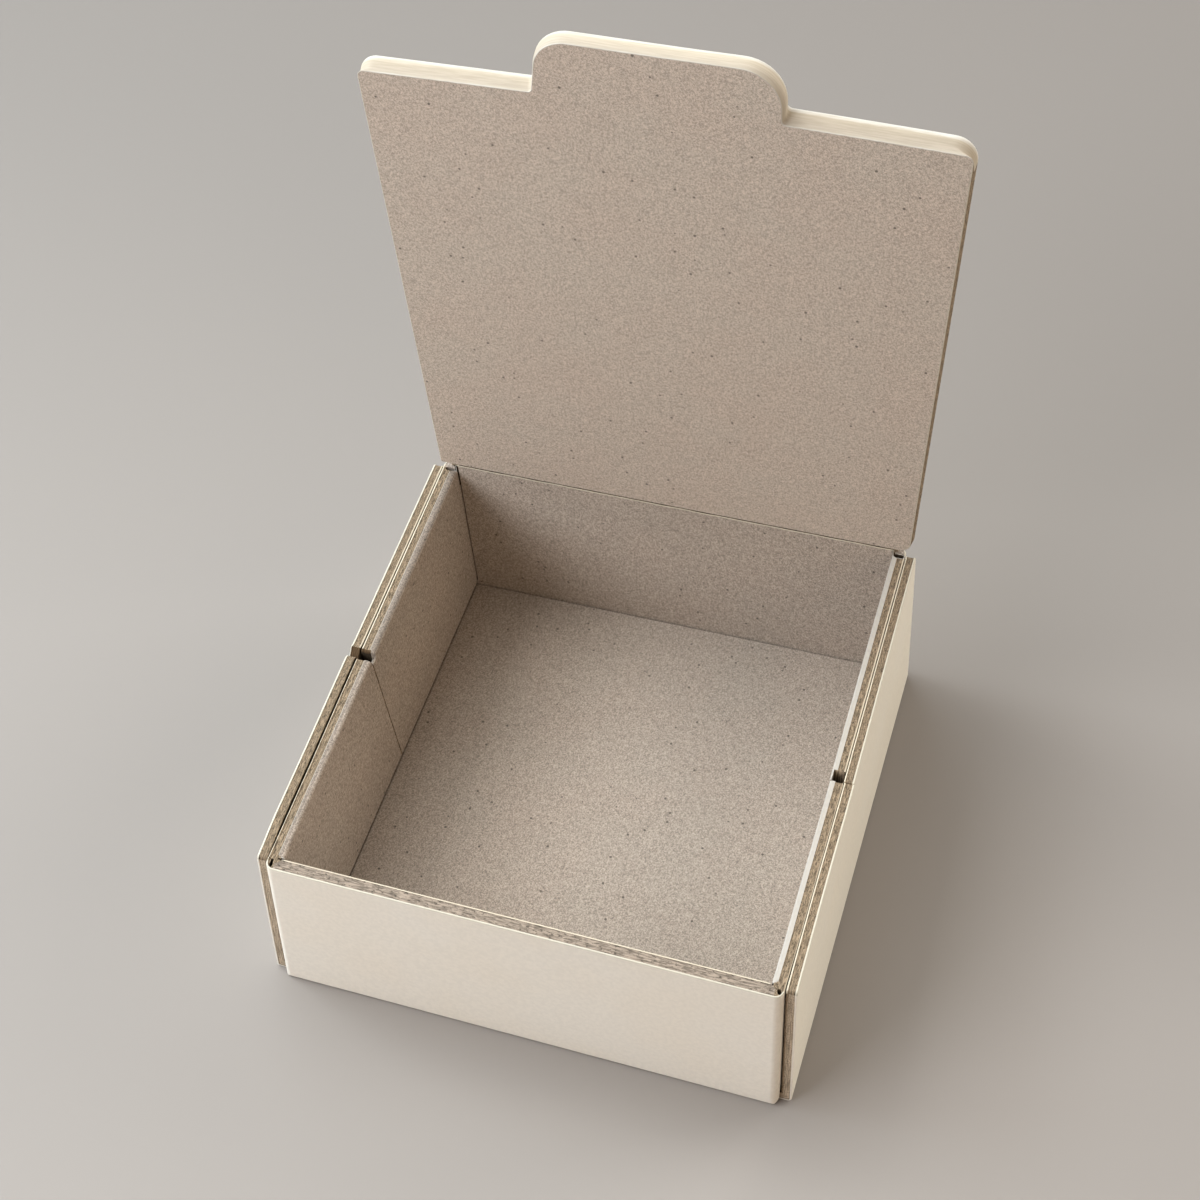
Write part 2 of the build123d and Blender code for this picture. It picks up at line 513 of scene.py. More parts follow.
def end_band(sheets, end):
    """The front or back wall with the two tabs that turn in behind the side walls."""
    flat = END_HALF
    tab = HALF_DEPTH - FOLD_RADIUS - SEAM_GAP / 2
    reach = {side: flat + ARC + tab - end * y for side, y in SEAM_PLACE.items()}
    inner_end = flat + ARC + BOARD - FOLD_RADIUS
    near = flat - TAB_BOARD[-1]
    far = flat + ARC + TAB_BOARD[-1]

    def outer(s):
        side, run = side_of(s), abs(s)
        if run <= flat:
            return Vector((s, end * HALF_DEPTH, 0)), Vector((0, end, 0))
        angle = min(1, (run - flat) / ARC) * math.pi / 2
        normal = Vector((side * math.sin(angle), end * math.cos(angle), 0))
        past = max(0, run - flat - ARC)
        centre = Vector((side * flat, end * (HALF_DEPTH - FOLD_RADIUS - past), 0))
        return centre + normal * FOLD_RADIUS, normal

    def square_place(s, up, depth):
        spot, normal = outer(s)
        side, run = side_of(s), abs(s)
        inner, opened = TAB_INNER[side], CORNER_OPEN[side]
        x_limit = TAB_FACE - depth * TAB_SCALE[side]
        y_limit = HALF_DEPTH - depth - round_over(BOTTOM_RADIUS, BOTTOM_RADIUS - up)
        x = turn_in(spot.x - normal.x * depth * TAB_SCALE[side], x_limit)
        y = turn_in(spot.y - normal.y * depth, y_limit)
        if depth == BOARD and run < inner:
            x = turn_in(x, inner - CREVICE_WIDTH * opened)
        elif depth == BOARD and run < inner_end:
            across, deep = crevice((run - inner) / (inner_end - inner))
            x, y = side * (inner + across * opened), end * (BACK_INNER + deep * opened)
        if run > flat + ARC:
            x += side * kink(side, y, up)
            near_seam = 1 - ease(0, SEAM_SLANT_REACH, abs(y - SEAM_PLACE[side]))
            y += SEAM_SLANT[side] * near_seam * (1 - up / WALL_HEIGHT)
        return Vector((x, y, up))

    def place(s, up, depth):
        return settle(square_place(s, up, depth), tab=depth / BOARD)

    def from_corner(s, depth):
        spot = square_place(s, WALL_HEIGHT, min(depth, BOARD - HAIR))
        return abs(spot.x) - TAB_INNER[side_of(s)], abs(spot.y) - BACK_INNER

    def low(s, depth):
        run = abs(s)
        if run <= flat:
            return FOLD_LAP
        if run <= flat + ARC:
            start, height = FOLD_CHAMFER[side_of(s)]
            return FOLD_FOOT + height * max(0, run - flat - start) / (ARC - start)
        return TAB_FOOT

    def layers(s):
        share = ease(inner_end, inner_end + LAYER_CHANGE, abs(s))
        return tuple(a + (b - a) * share for a, b in zip(FRONT_LAYERS, TAB_LAYERS[side_of(s)]))

    def seam_drop(side, gone, depth):
        if end < 0:
            return round_over(SEAM_ROUND_FRONT, SEAM_ROUND_FRONT - gone)
        skin = depth > BOARD - SEAM_SKIN[side]
        if side > 0:
            past = ease(HOLE_LENGTH - HOLE_SLOPE, HOLE_LENGTH, gone)
            hole = 0 if skin else HOLE_DEPTH * (1 - past)
            return hole + round_over(SEAM_ROUND_FRONT, SEAM_ROUND_FRONT - gone)
        notch = NOTCH_DEPTH * (1 - NOTCH_TAPER * ease(BOARD / 2, BOARD, depth))
        ledge = notch - SEAM_ROUND_BACK + (0 if skin else NOTCH_PIT)
        drop = ledge * (1 - ease(NOTCH_LENGTH - NOTCH_SLOPE, NOTCH_LENGTH, gone))
        return drop + round_over(SEAM_ROUND_BACK, SEAM_ROUND_BACK - (gone - NOTCH_LENGTH))

    def crease_top(s, depth):
        behind = BOARD - depth
        slot = CREASE_SLOT * ease(CREASE_LIP, 2 * CREASE_LIP, behind)
        slot *= 1 - ease(BOARD / 2, BOARD, behind)
        waver = CREASE_WAVER * noise.noise((s * CREASE_PITCH, 0, CREASE_SEED))
        slot += round_over(CREASE_LIP, CREASE_LIP - behind) + waver
        return CREASE_HEIGHT - CREASE_GAP / 2 - behind * MITRE - slot

    def high(s, depth):
        side, run = side_of(s), abs(s)
        if end > 0 and run <= flat:
            return crease_top(s, depth)
        drop = edge_drop(s, depth, end, layers(s))
        if near < run < far:
            gap = pocket_gap((side, end), *from_corner(s, depth))
            drop = max(drop, POCKET_DEPTH * (1 - ease(-POCKET_SLOPE, POCKET_SLOPE, gap)))
        return WALL_HEIGHT - drop - seam_drop(side, reach[side] - run, depth)

    def paint(s, depth):
        side, run = side_of(s), abs(s)
        layer = edge_material(depth, layers(s))
        if end > 0 and run < flat:
            return PLY_LINE if depth > BOARD - CREASE_LIP else CORE
        if near < run < far:
            across, beyond = from_corner(s, depth)
            gap = pocket_gap((side, end), across, beyond)
            # Inside a pocket the board is painted near-black: painted shadow in the hollow.
            if gap < POCKET_SLOPE:
                return SHADOW_CORE
            if end > 0 and side > 0 and gap < POCKET_LIP:
                return SKIN_EDGE
            if end > 0 and layer != LINER_EDGE and beyond > CORNER_CAP:
                return GREY_FACE
        if end > 0 and depth < BOARD - SEAM_SKIN[side]:
            gone = reach[side] - run
            # Inside the notch and the hole the core is painted near-black, painted shadow, and the
            # notch's rounded end dark brown, painted shade.
            if side < 0 and gone < NOTCH_LENGTH + SEAM_ROUND_BACK:
                return SHADOW_CORE if gone < NOTCH_LENGTH else NICK_SHADE_CORE
            if side > 0 and gone < HOLE_LENGTH:
                return SHADOW_CORE if gone < HOLE_LENGTH - HOLE_SLOPE else CORE
        if run < flat:
            return {CORE: FRONT_CORE, SKIN_EDGE: PLY_LINE}.get(layer, layer)
        if layer == LINER_EDGE and run > flat + ARC:
            return PLY_LINE if end > 0 or depth < FRONT_PLY_LINE else CORE
        # The left tabs' rim is painted in shade: its light line in a darker copy of the inner skin and
        # a band in a darker copy of the grey face.
        if side < 0 and layer == SKIN_EDGE and run > inner_end + RIM_START:
            if depth < BOARD - RIM_LINE:
                return RIM_SHADED_LINE
            return RIM_SHADE_FACE if depth < BOARD - RIM_FADE[end] else GREY_FACE
        return layer

    # Where a tab's outer face lies in the slit behind a side wall it is painted near-black: painted
    # shadow in the gap.
    def sides(s):
        return SHADOW_CORE if abs(s) > far else LINER_FACE, GREY_FACE

    columns = spread(-near, near, STEP)
    for side, inner in TAB_INNER.items():
        corner = inner_end - inner
        half = spread(near, far, FINE_STEP) + spread(far, reach[side], STEP)
        half += [inner, inner + corner / 3, inner + corner * 2 / 3, inner_end, flat, flat + HAIR]
        half += spread(reach[side] - NOTCH_LENGTH - SEAM_ROUND_BACK, reach[side], FINE_STEP)
        columns += [side * s for s in half]
    # The raw ends where the tabs meet at the seams are painted near-black: painted shadow in the seam
    # gaps.
    sheets.add_slab(
        chain(columns), FOLD_ROWS, board_levels(FRONT_LAYERS, *TAB_LAYERS.values()),
        place, low, high, layers, ends=SHADOW_CORE, paint=paint, sides=sides,
    )


def fold_path(half, scale):
    """How a section that runs from a floor, round a fold and up a wall is placed. scale is the
    wall's thickness as a share of the board's."""
    flat = half - BOTTOM_RADIUS

    def place(run, depth):
        if run <= flat:
            across, up, lean = run, 0, 0
        else:
            lean = min(1, (run - flat) / BOTTOM_ARC) * math.pi / 2
            past = max(0, run - flat - BOTTOM_ARC)
            across = flat + BOTTOM_RADIUS * math.sin(lean)
            up = BOTTOM_RADIUS - BOTTOM_RADIUS * math.cos(lean) + past
        across -= depth * scale * math.sin(lean)
        up += depth * math.cos(lean)
        return turn_in(across, half - depth * scale), max(depth, up)

    return flat, place


def side_wall(sheets, side):
    """A side wall with its bottom fold."""
    flat, section = fold_path(HALF_WIDTH, SIDE_SCALE)
    rise = flat + BOTTOM_ARC
    top = rise + WALL_HEIGHT - BOTTOM_RADIUS
    half = HALF_DEPTH - SIDE_SET_BACK
    seam = SEAM_PLACE[side]
    fold = spread(flat, rise, BOTTOM_ARC / ARC_STEPS)
    runs = [BASE_HALF] + fold + spread(rise, top, WALL_STEP)[1:]
    shares = [(run - BASE_HALF) / (top - BASE_HALF) for run in runs]

    def place(s, run, depth):
        across, up = section(run, depth)
        lean, curl = SIDE_LEAN, 0
        if side < 0:
            lean *= 2 * ease(-LEAN_CHANGE, LEAN_CHANGE, s) - 1
            curl = SIDE_CURL * (1 - ease(-half, SIDE_CURL_REACH - half, s))
        across += kink(side, s, up) - (lean + curl) * (up / WALL_HEIGHT) ** 3
        return settle(Vector((side * across, s, up)))

    def high(s, depth):
        drop = edge_drop(s, depth, SIDE_SEED + side, SIDE_LAYERS)
        drop += round_over(SIDE_END_ROUND, SIDE_END_ROUND - (half - abs(s)))
        past = s - seam
        if side < 0 and past > 0:
            drop += NICK_DEPTH * min(1, NICK_SLOPE * max(0, 1 - past / NICK_LENGTH))
        elif side > 0:
            drop += CRACK_DEPTH * (1 - ease(0, CRACK_HALF, abs(past)))
        return top - drop

    def paint(s, depth):
        layer = edge_material(depth, SIDE_LAYERS)
        past = s - seam
        # The nick's core is painted dark brown: painted shade in the hollow.
        if side < 0 and 0 < past < NICK_LENGTH and depth > NICK_SKIN:
            return NICK_SHADE_CORE
        if layer == SKIN_EDGE:
            return CORE if side < 0 and past < 0 else PLY_LINE
        return layer

    # The side wall's inner face, hidden in the slit behind the tabs, is painted near-black: painted
    # shadow in the gap.
    def sides(s):
        # The right wall's outer face takes a darker copy of the liner: painted shade on the side away
        # from the key light.
        return LINER_FACE if side < 0 else SHADED_RIGHT_FACE, SHADOW_CORE

    columns = chain(
        spread(-half, half, STEP),
        spread(seam - FINE_STEP * 4, seam + NICK_LENGTH + FINE_STEP, FINE_STEP / 2),
        spread(-half, SIDE_END_ROUND - half, FINE_STEP),
        spread(half - SIDE_END_ROUND, half, FINE_STEP),
    )
    sheets.add_slab(
        columns, shares, board_levels(SIDE_LAYERS), place, lambda s, depth: BASE_HALF, high,
        lambda s: SIDE_LAYERS, ends=END_CORE, paint=paint, sides=sides,
    )


def base(sheets):
    """The base with the bottom folds of the front and back walls."""
    flat, section = fold_path(HALF_DEPTH, 1)
    top = flat + BOTTOM_ARC + FOLD_LAP - BOTTOM_RADIUS
    inner_end = flat + BOTTOM_ARC + BOARD - BOTTOM_RADIUS
    runs = chain(
        spread(flat, flat + BOTTOM_ARC, BOTTOM_ARC / ARC_STEPS),
        spread(BACK_INNER, inner_end, (inner_end - BACK_INNER) / CREVICE_STEPS),
        [BACK_INNER - CREVICE_WIDTH, top],
    )
    floor_runs = spread(-BACK_INNER + BASE_END, BACK_INNER - BASE_END, BASE_STEP)
    runs = [-run for run in reversed(runs)] + floor_runs + runs
    shares = [(run + top) / (2 * top) for run in runs]
    grooves = [side * (inner - GROOVE_WIDTH) for side, inner in TAB_INNER.items()]

    def place(s, run, depth):
        across, up = section(abs(run), depth)
        if depth == BOARD and BACK_INNER - CREVICE_WIDTH < abs(run) < BACK_INNER:
            across = BACK_INNER - CREVICE_WIDTH
        if depth == BOARD and BACK_INNER <= abs(run) <= inner_end:
            move, deep = crevice((abs(run) - BACK_INNER) / (inner_end - BACK_INNER))
            across, up = BACK_INNER + move, BOARD - deep
        elif depth == BOARD and not grooves[0] <= s <= grooves[1] and abs(run) < BACK_INNER:
            up -= GROOVE_DEPTH
        spot = Vector((s, math.copysign(across, run), up))
        return settle(spot, tab=1 if depth == BOARD and abs(run) < BACK_INNER else None)

    columns = chain(
        spread(-END_HALF, END_HALF, WIDE_STEP), grooves, [x * GROOVE_EDGE for x in grooves]
    )
    sheets.add_slab(
        columns, shares, board_levels(FRONT_LAYERS), place, lambda s, depth: -top,
        lambda s, depth: top, lambda s: FRONT_LAYERS, ends=None,
    )


def lid_thickness(up):
    """The lid's thickness at a height above the crease."""
    return BOARD + (LID_EDGE_THICKNESS - BOARD) * up / LID_TOP


def rounded_loop(corners, inset, counts):
    """A closed outline with rounded corners, moved in by inset. Each corner is (x, y, radius),
    each radius is that of the finished outline, and counts gives the points on each side."""
    size = len(corners)
    spots = [Vector(corner[:2]) for corner in corners]
    moved = []
    for i in range(size):
        before = (spots[i] - spots[i - 1]).normalized()
        after = (spots[(i + 1) % size] - spots[i]).normalized()
        in_before, in_after = Vector((-before.y, before.x)), Vector((-after.y, after.x))
        bisector = in_before + in_after
        spot = spots[i] + bisector * (inset / (1 + in_before.dot(in_after)))
        turn = before.angle_signed(after) * -1
        radius = max(LEAST_RADIUS, corners[i][2] - math.copysign(inset, turn))
        moved.append((spot, before, turn, radius, radius * math.tan(abs(turn) / 2)))
    loop = []
    for i in range(size):
        spot, before, turn, radius, cut = moved[i]
        inward = Vector((-before.y, before.x)) * math.copysign(radius, turn)
        centre = spot - before * cut + inward
        first = math.atan2(before.y, before.x) - math.copysign(math.pi / 2, turn)
        for step in range(ARC_STEPS + 1):
            angle = first + turn * step / ARC_STEPS
            loop.append(centre + Vector((math.cos(angle), math.sin(angle))) * radius)
        next_spot, next_before, _, _, next_cut = moved[(i + 1) % size]
        start, end = loop[-1], next_spot - next_before * next_cut
        loop.extend(start.lerp(end, step / counts[i]) for step in range(1, counts[i]))
    return loop


def lid_place(x, up, depth):
    """A place on the lid, depth behind its inner face, as it stands open. Its right corner is bent
    back a little."""
    depth += LID_BEND * ease(0, 1, x / LID_FREE_RIGHT) * ease(0, 1, up / LID_LENGTH)
    y = depth * math.cos(LID_LEAN) - up * math.sin(LID_LEAN)
    z = depth * math.sin(LID_LEAN) + up * math.cos(LID_LEAN)
    return Vector((x, BACK_INNER + y, CREASE_HEIGHT + z))


def lid_loop(share):
    """The lid's outline at a share of its thickness."""
    thickness = lid_thickness(LID_LENGTH)
    depth = share * thickness
    inset = round_over(LID_SKIN_ROUND, LID_SKIN_ROUND - depth)
    inset += round_over(LID_EDGE_RADIUS, depth - (thickness - LID_EDGE_RADIUS))
    turned, lift = ease(*LID_TURN, share), ease(*LID_LIFT, share)
    corner_left, corner_right = (
        LID_CORNER_INNER + (radius - LID_CORNER_INNER) * turned
        for radius in (LID_CORNER_LEFT, LID_CORNER_RIGHT)
    )
    root_left, crown_left, tongue_right = (
        first + (last - first) * turned
        for first, last in (TONGUE_ROOT_LEFT, TONGUE_CROWN_LEFT, TONGUE_RIGHT)
    )
    shoulders = {
        side: [LID_LENGTH + rise + LID_RIM_LIFT[side] * lift for rise in rises]
        for side, rises in LID_SHOULDERS.items()
    }
    left_free, left_root = shoulders[-1]
    right_root, right_free = shoulders[1]
    crown = LID_TOP + TONGUE_LIFT * lift
    foot = LID_FOOT + depth * MITRE
    bevel = LID_BEVEL * share
    corners = [
        (-LID_CREASE_LEFT, foot, LID_LOWER_LEFT),
        (LID_CREASE_RIGHT + bevel, foot, LID_LOWER_RIGHT),
        (LID_FREE_RIGHT + bevel, right_free, corner_right),
        (tongue_right, right_root, TONGUE_ROOT),
        (tongue_right, crown, TONGUE_RADIUS[1]),
        (-crown_left, crown, TONGUE_RADIUS[-1]),
        (-root_left, left_root, TONGUE_ROOT),
        (-(LID_FREE_LEFT + LID_RIM_SHIFT * turned), left_free, corner_left),
    ]
    return rounded_loop(corners, inset, LID_COUNTS)


def make_lid(materials):
    """The lid: outlines at rising depths joined into a shell, with its inner and outer faces."""
    loops = [lid_loop(share) for share in LID_SHARES]
    gauge = loops[LID_GAUGE]
    size = len(gauge)
    runs = [0]
    for i in range(size):
        runs.append(runs[-1] + (gauge[(i + 1) % size] - gauge[i]).length)
    sheets = Sheets()
    for share, loop in zip(LID_SHARES, loops):
        for i, spot in enumerate(loop):
            ragged = 0
            if share < RAGGED_SHARE and spot.y > LID_LENGTH - RAGGED_REACH:
                ragged = LID_RAGGED * noise.noise((runs[i] * RAGGED_PITCH, 0, LID_SEED))
            depth = share * lid_thickness(max(0, spot.y))
            sheets.points.append(lid_place(spot.x, spot.y + ragged, depth))
    for level in range(len(loops) - 1):
        first, second = LID_SHARES[level], LID_SHARES[level + 1]
        raw = LID_CORE[0] < (first + second) / 2 < LID_CORE[1]
        near, far = level * size, (level + 1) * size
        low, up = first * BOARD, second * BOARD
        for i in range(size):
            j = (i + 1) % size
            material = LID_SIDE_CORE if raw else LID_SIDE_LINER
            if gauge[i].y > LID_LENGTH - LID_CORNER_RIGHT / 2:
                material = LID_FREE_EDGE
            places = [(runs[i], low), (runs[i + 1], low), (runs[i + 1], up), (runs[i], up)]
            sheets.add_face([near + i, near + j, far + j, far + i], material, places)
    for level, material in ((0, LID_INNER), (len(loops) - 1, LID_OUTER)):
        places = [(spot.x, spot.y) for spot in loops[level]]
        sheets.add_face([level * size + i for i in range(size)], material, places)
    return sheets.make("lid_panel", materials)


def make_crease_strip(material):
    """The liner that runs on over the outside of the crease, from the back wall to the lid."""
    strip = Sheets()
    columns = spread(-END_HALF, END_HALF, WIDE_STEP)
    start = CREASE_LOW - STRIP_LAP
    for radius in (BOARD, BOARD - STRIP_THICKNESS):
        for x in columns:
            for step in range(STRIP_STEPS + 1):
                angle = start + (CREASE_HIGH - start) * step / STRIP_STEPS
                y, z = radius * math.cos(angle), radius * math.sin(angle)
                strip.points.append(Vector((x, BACK_INNER + y, CREASE_HEIGHT + z)))
    row = STRIP_STEPS + 1
    for first in (0, len(columns) * row):
        for i in range(len(columns) - 1):
            for step in range(STRIP_STEPS):
                a = first + i * row + step
                strip.add_face([a, a + row, a + row + 1, a + 1], 0, [(0, 0)] * 4)
    return strip.make("crease_liner", [material])


# Grain sizes: fibres in metres through the board, pits and streaks in millimetres on a cut edge
FIBRE_SIZE = (0.0012, 0.00022, 0.00022)
FIBRE_HEADINGS = ((0.3, 0.6), (1.3, -0.35), (2.2, 0.9), (-0.7, -0.9))
PIT_SIZE = (0.42, 0.24, 1)
FRONT_PIT_SIZE = (0.75, 0.42, 1)
STREAK_SIZE = (6.0, 0.16, 1)

# The limits between which a pattern changes its surface from low to high, where noise is about
# its middle, and how far it moves the layers of the free edge
SOFT_WINDOW = (0.3, 0.7)
GRAIN_WINDOW = (0.36, 0.64)
STREAK_WINDOW = (0.35, 0.65)
NOISE_MIDDLE = 0.5
STREAK_WANDER = 0.3

# The marks of a surface: the limits of the pattern between which each comes in, whether it does
# so below them, how strongly it shows, and how light it is beside the tone
FIBRES = (((0.57, 0.66), False, 1, 1.4), ((0.34, 0.43), True, 1, 0.58))
SPECKS = (((0.065, 0.1), True, 0.85, 0.25),)
PITS = (((0.57, 0.65), False, 0.45, 1.7), ((0.38, 0.42), True, 0.75, 0.35))

# How far paper and a raw core vary about their tones, and tints that a colour is multiplied by
PAPER_TONES = (0.965, 1.03)
CORE_SPAN = 0.35
WHITE = (1, 1, 1, 1)
BLOTCH_TINT = (0.965, 0.96, 0.955, 1)
CLOUD_WARM = (1, 0.98, 0.962, 1)
CLOUD_COOL = (0.985, 1, 0.99, 1)
PAPER_TINT = (1, 0.985, 0.965, 1)
STREAK_DARK = (0.93, 0.92, 0.9, 1)
STREAK_LIGHT = (1.04, 1.04, 1.04, 1)

# The sockets of a Mix node that take and give colours
MIX_FACTOR, MIX_FIRST, MIX_SECOND, MIX_RESULT = 0, 6, 7, 2


class Surface:
    """A new material, with its shader and what adds nodes to it."""

    def __init__(self, name, roughness, specular):
        self.material = bpy.data.materials.new(name)
        self.material.use_nodes = True
        self.tree = self.material.node_tree
        self.shader = self.tree.nodes["Principled BSDF"]
        self.shader.inputs["Roughness"].default_value = roughness
        self.shader.inputs["Specular IOR Level"].default_value = specular

    def feed(self, socket, value):
        """Gives a socket a node's output or a value of its own."""
        if isinstance(value, bpy.types.NodeSocket):
            self.tree.links.new(value, socket)
        else:
            socket.default_value = value

    def add(self, kind, inputs=None, **settings):
        """A new node with its settings and its inputs, by name or number."""
        made = self.tree.nodes.new(kind)
        for key, value in settings.items():
            setattr(made, key, value)
        for key, value in (inputs or {}).items():
            self.feed(made.inputs[key], value)
        return made

    def object_place(self):
        """Places in metres on the object."""
        return self.add("ShaderNodeTexCoord").outputs["Object"]

    def sheet_place(self):
        """Places in millimetres on the board."""
        return self.add("ShaderNodeUVMap", uv_map="sheet").outputs["UV"]

    def grained(self, vector, size, turn=(0, 0, 0)):
        """Places in which a pattern has grains of the given size, turned to run another way."""
        inputs = dict(Vector=vector, Rotation=turn, Scale=size)
        return self.add("ShaderNodeMapping", inputs, vector_type="TEXTURE").outputs["Vector"]

    def pattern(self, vector, scale, detail, roughness=0.5, distortion=0.0):
        """A noise pattern."""
        inputs = dict(Vector=vector, Scale=scale, Detail=detail)
        inputs.update(Roughness=roughness, Distortion=distortion)
        return self.add("ShaderNodeTexNoise", inputs).outputs[0]

    def compute(self, operation, *values):
        """The result of a sum."""
        inputs = dict(enumerate(values))
        return self.add("ShaderNodeMath", inputs, operation=operation).outputs[0]

    def window(self, value, limits, reverse=False):
        """Rises from 0 to 1 as value goes from one limit to the other, or falls if reversed."""
        inputs = {"Value": value, "From Min": limits[0], "From Max": limits[1]}
        if reverse:
            inputs.update({"To Min": 1, "To Max": 0})
        made = self.add("ShaderNodeMapRange", inputs, interpolation_type="SMOOTHSTEP")
        return made.outputs["Result"]

    def mix(self, factor, first, second, blend="MIX"):
        """Two colours mixed."""
        inputs = {MIX_FACTOR: factor, MIX_FIRST: first, MIX_SECOND: second}
        made = self.add("ShaderNodeMix", inputs, data_type="RGBA", blend_type=blend)
        return made.outputs[MIX_RESULT]

    def marked(self, colour, pattern, marks, strength, tone):
        """A colour with the marks that a pattern gives it."""
        for limits, below, share, shade in marks:
            shown = self.compute("MULTIPLY", self.window(pattern, limits, below), share * strength)
            colour = self.mix(shown, colour, tinted(tone, shade))
        return colour

    def finish(self, colour, height=None, strength=1.0, distance=1.0):
        """Gives the shader its colour and the bump of a height, and returns the material."""
        self.feed(self.shader.inputs["Base Color"], colour)
        if height is not None:
            bump = self.add("ShaderNodeBump", dict(Height=height, Strength=strength, Distance=distance))
            self.feed(self.shader.inputs["Normal"], bump.outputs["Normal"])
        return self.material


def tinted(tone, share):
    """A tone made lighter or darker, as a node colour."""
    return tuple(min(1, c * share) for c in tone) + (1,)


def grey_board(name, tone, contrast, fibres):
    """Grey recycled board: fine mottled fibre with dark specks, short fibres and faint clouding."""
    surface = Surface(name, roughness=0.92, specular=0.2)
    place = surface.object_place()
    mottle = surface.pattern(place, scale=3200, detail=3, roughness=0.6, distortion=1.2)
    low, high = tinted(tone, 1 - contrast), tinted(tone, 1 + contrast)
    colour = surface.mix(surface.window(mottle, GRAIN_WINDOW), low, high)
    blotch = surface.pattern(place, scale=640, detail=2)
    shade = surface.mix(surface.window(blotch, SOFT_WINDOW), BLOTCH_TINT, WHITE)
    colour = surface.mix(1.0, colour, shade, "MULTIPLY")
    cloud = surface.pattern(place, scale=90, detail=3)
    tint = surface.mix(surface.window(cloud, SOFT_WINDOW), CLOUD_WARM, CLOUD_COOL)
    colour = surface.mix(1.0, colour, tint, "MULTIPLY")
    for heading, pitch in FIBRE_HEADINGS:
        lie = surface.grained(place, FIBRE_SIZE, (0, -pitch, heading))
        fibre = surface.pattern(lie, scale=1, detail=1, distortion=0.5)
        colour = surface.marked(colour, fibre, FIBRES, fibres, tone)
    cells = surface.add("ShaderNodeTexVoronoi", {"Vector": place, "Scale": 350, "Randomness": 1})
    colour = surface.marked(colour, cells.outputs["Distance"], SPECKS, 1, tone)
    return surface.finish(colour, mottle, strength=0.3, distance=0.00006)


def cream_liner(name, tone):
    """Smooth cream paper with a faint tooth."""
    surface = Surface(name, roughness=0.6, specular=0.3)
    place = surface.object_place()
    tooth = surface.pattern(place, scale=1300, detail=4, roughness=0.6)
    cloud = surface.pattern(place, scale=60, detail=2)
    low, high = (tinted(tone, share) for share in PAPER_TONES)
    colour = surface.mix(surface.window(tooth, SOFT_WINDOW), low, high)
    tint = surface.mix(surface.window(cloud, SOFT_WINDOW), PAPER_TINT, WHITE)
    colour = surface.mix(1.0, colour, tint, "MULTIPLY")
    return surface.finish(colour, tooth, strength=0.2, distance=0.00006)


def raw_core(name, tone, streak, contrast, pit=PIT_SIZE):
    """A raw cut edge of the board: streaks along the edge, with dark pits and light flecks."""
    surface = Surface(name, roughness=0.9, specular=0.2)
    place = surface.sheet_place()
    grain = surface.pattern(surface.grained(place, streak), scale=1, detail=4, roughness=0.6)
    pits = surface.pattern(surface.grained(place, pit), scale=1, detail=3, roughness=0.6)
    span = CORE_SPAN * contrast
    low, high = tinted(tone, 1 - span), tinted(tone, 1 + span)
    colour = surface.mix(surface.window(grain, GRAIN_WINDOW), low, high)
    colour = surface.marked(colour, pits, PITS, contrast, tone)
    return surface.finish(colour, pits, strength=0.5 * contrast, distance=0.00015)


def turned_edge(name, bands):
    """The turned-over free edge: long streaked layers of paper. bands lists (share of the
    thickness, tone)."""
    surface = Surface(name, roughness=0.7, specular=0.25)
    place = surface.sheet_place()
    streak = surface.pattern(surface.grained(place, STREAK_SIZE), scale=1, detail=4, roughness=0.6)
    wander = surface.compute("SUBTRACT", streak, NOISE_MIDDLE)
    depth = surface.add("ShaderNodeSeparateXYZ", {"Vector": place}).outputs["Y"]
    share = surface.compute("DIVIDE", depth, BOARD)
    moved = surface.compute("MULTIPLY_ADD", wander, STREAK_WANDER, share)
    ramp = surface.add("ShaderNodeValToRGB", {"Fac": moved})
    stops = ramp.color_ramp.elements
    while len(stops) < len(bands):
        stops.new(1)
    for stop, (position, tone) in zip(stops, bands):
        stop.position = position
        stop.color = tinted(tone, 1)
    shade = surface.mix(surface.window(streak, STREAK_WINDOW), STREAK_DARK, STREAK_LIGHT)
    colour = surface.mix(1.0, ramp.outputs["Color"], shade, "MULTIPLY")
    return surface.finish(colour, streak, strength=0.3, distance=0.0001)


def floor_paper(name, tone):
    """A plain pale studio floor, painted a little paler toward the front: painted light that falls off
    toward the back.
    """
    surface = Surface(name, roughness=0.85, specular=0.2)
    place = surface.object_place()
    back = surface.add("ShaderNodeSeparateXYZ", {"Vector": place}).outputs["Y"]
    painted_light = surface.window(back, (-FLOOR_LIGHT_SPAN, FLOOR_LIGHT_SPAN))
    near, far = (tinted(tone, share) for share in FLOOR_LIGHT_SHARES)
    return surface.finish(surface.mix(painted_light, near, far))


liner = cream_liner("cream_liner", (0.81, 0.74, 0.64))
# A darker copy of the cream liner for the right wall's outer face: painted shade, since that wall faces
# away from the key light.
shaded_right_liner = cream_liner("shaded_right_liner", (0.72, 0.662, 0.56))
tray_grey = grey_board("tray_grey", (0.39, 0.322, 0.264), contrast=0.24, fibres=0.6)
# A darker copy of the grey board: painted shade on the left tabs' rim.
rim_shade_grey = grey_board("rim_shade_grey", (0.26, 0.211, 0.17), contrast=0.24, fibres=0.6)
# The lid is the same board as the tray but painted lighter: the step between the lid and the tray's
# inner faces is painted light and shade.
lit_lid_grey = grey_board("lit_lid_grey", (0.515, 0.425, 0.348), contrast=0.15, fibres=0.4)
side_core = raw_core("side_core", (0.222, 0.162, 0.104), (1.5, 0.16, 1), contrast=1.6)
front_core = raw_core(
    "front_core", (0.242, 0.191, 0.147), (2.2, 0.25, 1), contrast=1.2, pit=FRONT_PIT_SIZE
)
